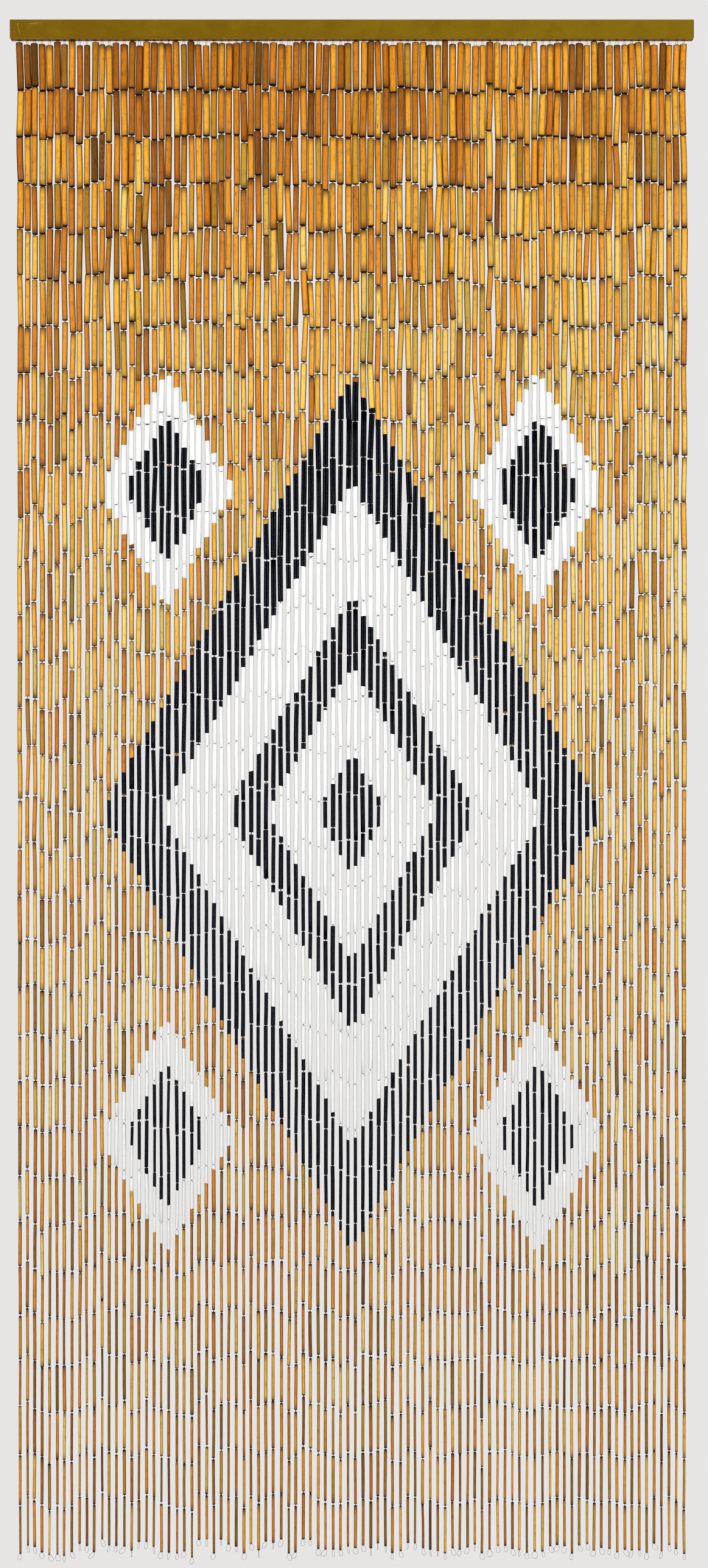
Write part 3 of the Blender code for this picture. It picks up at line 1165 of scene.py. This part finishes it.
class CURTAIN_OT_foot_loops(bpy.types.Operator):
    """Make the wire loop at each strand's foot"""

    bl_idname = "curtain.foot_loops"
    bl_label = "Make Foot Loops"

    def execute(self, context):
        size = settings()
        neck = size.loop_wire * 0.55
        pile = MeshPile()
        for plan, tubes in zip(*string_strands()):
            draw = random.Random(LOOP_SEED + round(plan.hook_x * 1e6))
            width = size.loop_width * draw.uniform(*LOOP_WIDTH_SHARE)
            height = size.loop_height * draw.uniform(*LOOP_HEIGHT_SHARE)
            lean = draw.gauss(0, LOOP_LEAN)
            way, normal = directions(plan.loop_turn)
            # Columns: distance aside, height over the last tube's end
            outline = [(-neck, high) for high in LOOP_NECK]
            for step in range(LOOP_STEPS + 1):
                angle = math.radians(LOOP_START + (360 - 2 * LOOP_START) * step / LOOP_STEPS)
                fullness = 0.72 + 0.28 * math.sin(angle / 2)
                aside = -width / 2 * math.sin(angle) * fullness
                outline.append((aside, -height / 2 * (1 - math.cos(angle)) - LOOP_DROP))
            outline += [(neck, high) for high in reversed(LOOP_NECK)]
            path = []
            for aside, high in outline:
                leaned = aside + (lean * high if high < 0 else 0.0)
                path.append(tubes[-1].foot + leaned * way + up(high))
            add_wire(pile, path, normal, size.loop_wire, LOOP_SIDES)
        piece = pile.build("foot_loops", finishes("dull steel wire"), 80)
        finish_piece(piece, "strands")
        return {"FINISHED"}


def batten_outline(inset):
    """Corners of the batten's outline, seen from the front and drawn in by inset. The lower are rounder."""
    low, high = BATTEN_LOW, BATTEN_HIGH
    points = []
    # Columns: corner, its radius, angle at which its arc starts, and the ways inwards and upwards from it
    for x, z, worn, start, inward, upward in (
        (low.x, low.z, LOWER_CORNER, 180, 1, 1),
        (high.x, low.z, LOWER_CORNER, 270, -1, 1),
        (high.x, high.z, UPPER_CORNER, 0, -1, -1),
        (low.x, high.z, UPPER_CORNER, 90, 1, -1),
    ):
        reach = max(worn, inset)
        radius = max(worn - inset, 0.00002)
        for step in range(5):
            angle = math.radians(start + 90 * step / 4)
            across = x + inward * reach + radius * math.cos(angle)
            points.append((across, z + upward * reach + radius * math.sin(angle)))
    return points


class CURTAIN_OT_batten(bpy.types.Operator):
    """Make the batten with its worn corners and softened edges"""

    bl_idname = "curtain.batten"
    bl_label = "Make Batten"

    def execute(self, context):
        front, back = BATTEN_LOW.y, BATTEN_HIGH.y
        # Columns: depth, how far the outline is drawn in there, and how much the edge wear shows
        rings = (
            (front, FRONT_INSET, 0.0),
            (front, EDGE_ROUND, 1.0),
            (front + EDGE_MIDDLE, EDGE_MIDDLE, 1.0),
            (front + EDGE_ROUND, 0.0, 1.0),
            (back - EDGE_ROUND, 0.0, BACK_WEAR),
            (back - EDGE_MIDDLE, EDGE_MIDDLE, BACK_WEAR),
            (back, EDGE_ROUND, BACK_WEAR),
        )
        bm = bmesh.new()
        wear = bm.verts.layers.float.new("edge")
        rows = []
        for y, inset, worn in rings:
            row = [bm.verts.new((x, y, z)) for x, z in batten_outline(inset)]
            for vert in row:
                vert[wear] = worn if vert.co.z < 0 else worn * TOP_WEAR
            rows.append(row)
        for first, second in zip(rows, rows[1:]):
            for i in range(len(first)):
                j = (i + 1) % len(first)
                bm.faces.new((first[i], second[i], second[j], first[j]))
        bm.faces.new(rows[0])
        bm.faces.new(reversed(rows[-1]))
        bmesh.ops.recalc_face_normals(bm, faces=bm.faces)
        mesh = mesh_from(bm, "batten_board")
        mesh.shade_smooth()
        mesh.set_sharp_from_angle(angle=math.radians(50))
        mesh.materials.append(finishes("gold batten paint")[0])
        finish_piece(placed("batten_board", mesh), "batten")
        return {"FINISHED"}


def aim(lamp, way, top):
    """Turns a lamp to shine along way, with its own axis top kept upwards."""
    lamp.rotation_mode = "QUATERNION"
    lamp.rotation_quaternion = way.to_track_quat("-Z", top)


def add_sun(name, azimuth, elevation, strength, spread):
    """A soft light from far off that shades but doesn't shine. Azimuth 0 is in front of the curtain."""
    light = bpy.data.lights.new(name, "SUN")
    light.energy = strength
    light.angle = math.radians(spread)
    lamp = placed(name, light)
    turn, rise = math.radians(azimuth), math.radians(elevation)
    source = Vector((math.sin(turn) * math.cos(rise), -math.cos(turn) * math.cos(rise), math.sin(rise)))
    aim(lamp, -source, "Y")
    lamp.visible_glossy = False


def add_strip(name, x, power):
    """A tall light box in front of the curtain that only shines, so its reflection runs down every tube."""
    light = bpy.data.lights.new(name, "AREA")
    light.shape = "RECTANGLE"
    light.size, light.size_y = STRIP_SIZE
    light.energy = power
    lamp = placed(name, light)
    lamp.location = (x, -STRIP_DISTANCE, STRIP_HEIGHT)
    aim(lamp, Vector((-x, STRIP_DISTANCE, 0)), "Z")
    lamp.visible_camera = False
    lamp.visible_diffuse = False


def make_surround(stage):
    """A world that the camera sees as a plain pale surround, and that lights the curtain only faintly."""
    world = bpy.data.worlds.new("pale surround")
    world.use_nodes = True
    bpy.context.scene.world = world
    tree = world.node_tree
    tree.nodes.clear()
    fill = add_node(tree, "ShaderNodeBackground", {"Color": (1, 1, 1, 1), "Strength": stage.fill})
    seen = add_node(tree, "ShaderNodeBackground", {"Color": (*stage.surround, 1), "Strength": 1.0})
    direct = add_node(tree, "ShaderNodeLightPath").outputs["Is Camera Ray"]
    both = add_node(tree, "ShaderNodeMixShader", {0: direct, 1: fill.outputs[0], 2: seen.outputs[0]})
    add_node(tree, "ShaderNodeOutputWorld", {"Surface": both.outputs[0]})


def make_floor(stage):
    bm = bmesh.new()
    bmesh.ops.create_circle(bm, cap_ends=True, segments=96, radius=FLOOR_RADIUS)
    bmesh.ops.translate(bm, vec=(0, 0, FLOOR_HEIGHT), verts=bm.verts)
    mesh = mesh_from(bm, "floor")
    material, _, shader = new_material("pale floor")
    shader.inputs["Base Color"].default_value = (*stage.floor, 1)
    shader.inputs["Roughness"].default_value = 0.9
    mesh.materials.append(material)
    placed("floor", mesh)


def make_camera(stage):
    camera = bpy.data.cameras.new("camera")
    camera.lens = stage.lens
    camera.sensor_width = 36.0
    camera.sensor_fit = "AUTO"
    eye = placed("camera", camera)
    eye.location = (CAMERA_X, STRAND_Y - stage.distance, CAMERA_HEIGHT)
    eye.rotation_euler = (math.radians(90), 0, 0)
    bpy.context.scene.camera = eye


class CURTAIN_OT_stage(bpy.types.Operator):
    """Make the pale surround, the floor, the lights and the camera"""

    bl_idname = "curtain.stage"
    bl_label = "Make Stage"

    def execute(self, context):
        stage = bpy.context.scene.curtain_stage
        bpy.context.scene.view_settings.view_transform = "Standard"
        make_surround(stage)
        add_sun("front light", azimuth=0, elevation=42, strength=stage.front, spread=22)
        add_sun("low light", azimuth=0, elevation=-38, strength=stage.low, spread=22)
        add_strip("left strip light", -STRIP_APART, stage.strip)
        add_strip("right strip light", STRIP_APART, stage.strip)
        add_sun("back light", azimuth=180, elevation=48, strength=stage.back, spread=20)
        make_floor(stage)
        make_camera(stage)
        return {"FINISHED"}


class CURTAIN_PT_panel(bpy.types.Panel):
    """Sizes, colours and making of the bamboo door curtain"""

    bl_idname = "CURTAIN_PT_panel"
    bl_label = "Bamboo Door Curtain"
    bl_space_type = "VIEW_3D"
    bl_region_type = "UI"
    bl_category = "Curtain"

    def draw(self, context):
        scene = context.scene
        for group in (scene.curtain_sizes, scene.curtain_colours, scene.curtain_stage):
            box = self.layout.box()
            for name in group.bl_rna.properties.keys():
                if name not in ("rna_type", "name"):
                    box.prop(group, name)
        for operator in OPERATORS:
            self.layout.operator(operator.bl_idname)


OPERATORS = (
    CURTAIN_OT_stage,
    CURTAIN_OT_batten,
    CURTAIN_OT_hooks,
    CURTAIN_OT_tubes,
    CURTAIN_OT_links,
    CURTAIN_OT_foot_loops,
)
CLASSES = (CurtainSizes, CurtainColours, CurtainStage, *OPERATORS, CURTAIN_PT_panel)


def register():
    for cls in CLASSES:
        bpy.utils.register_class(cls)
    bpy.types.Scene.curtain_sizes = PointerProperty(type=CurtainSizes)
    bpy.types.Scene.curtain_colours = PointerProperty(type=CurtainColours)
    bpy.types.Scene.curtain_stage = PointerProperty(type=CurtainStage)


def unregister():
    del bpy.types.Scene.curtain_stage
    del bpy.types.Scene.curtain_colours
    del bpy.types.Scene.curtain_sizes
    for cls in reversed(CLASSES):
        bpy.utils.unregister_class(cls)


def main():
    register()
    bpy.ops.curtain.stage()
    bpy.ops.curtain.batten()
    bpy.ops.curtain.hooks()
    bpy.ops.curtain.tubes()
    bpy.ops.curtain.links()
    bpy.ops.curtain.foot_loops()


if __name__ == "__main__":
    main()
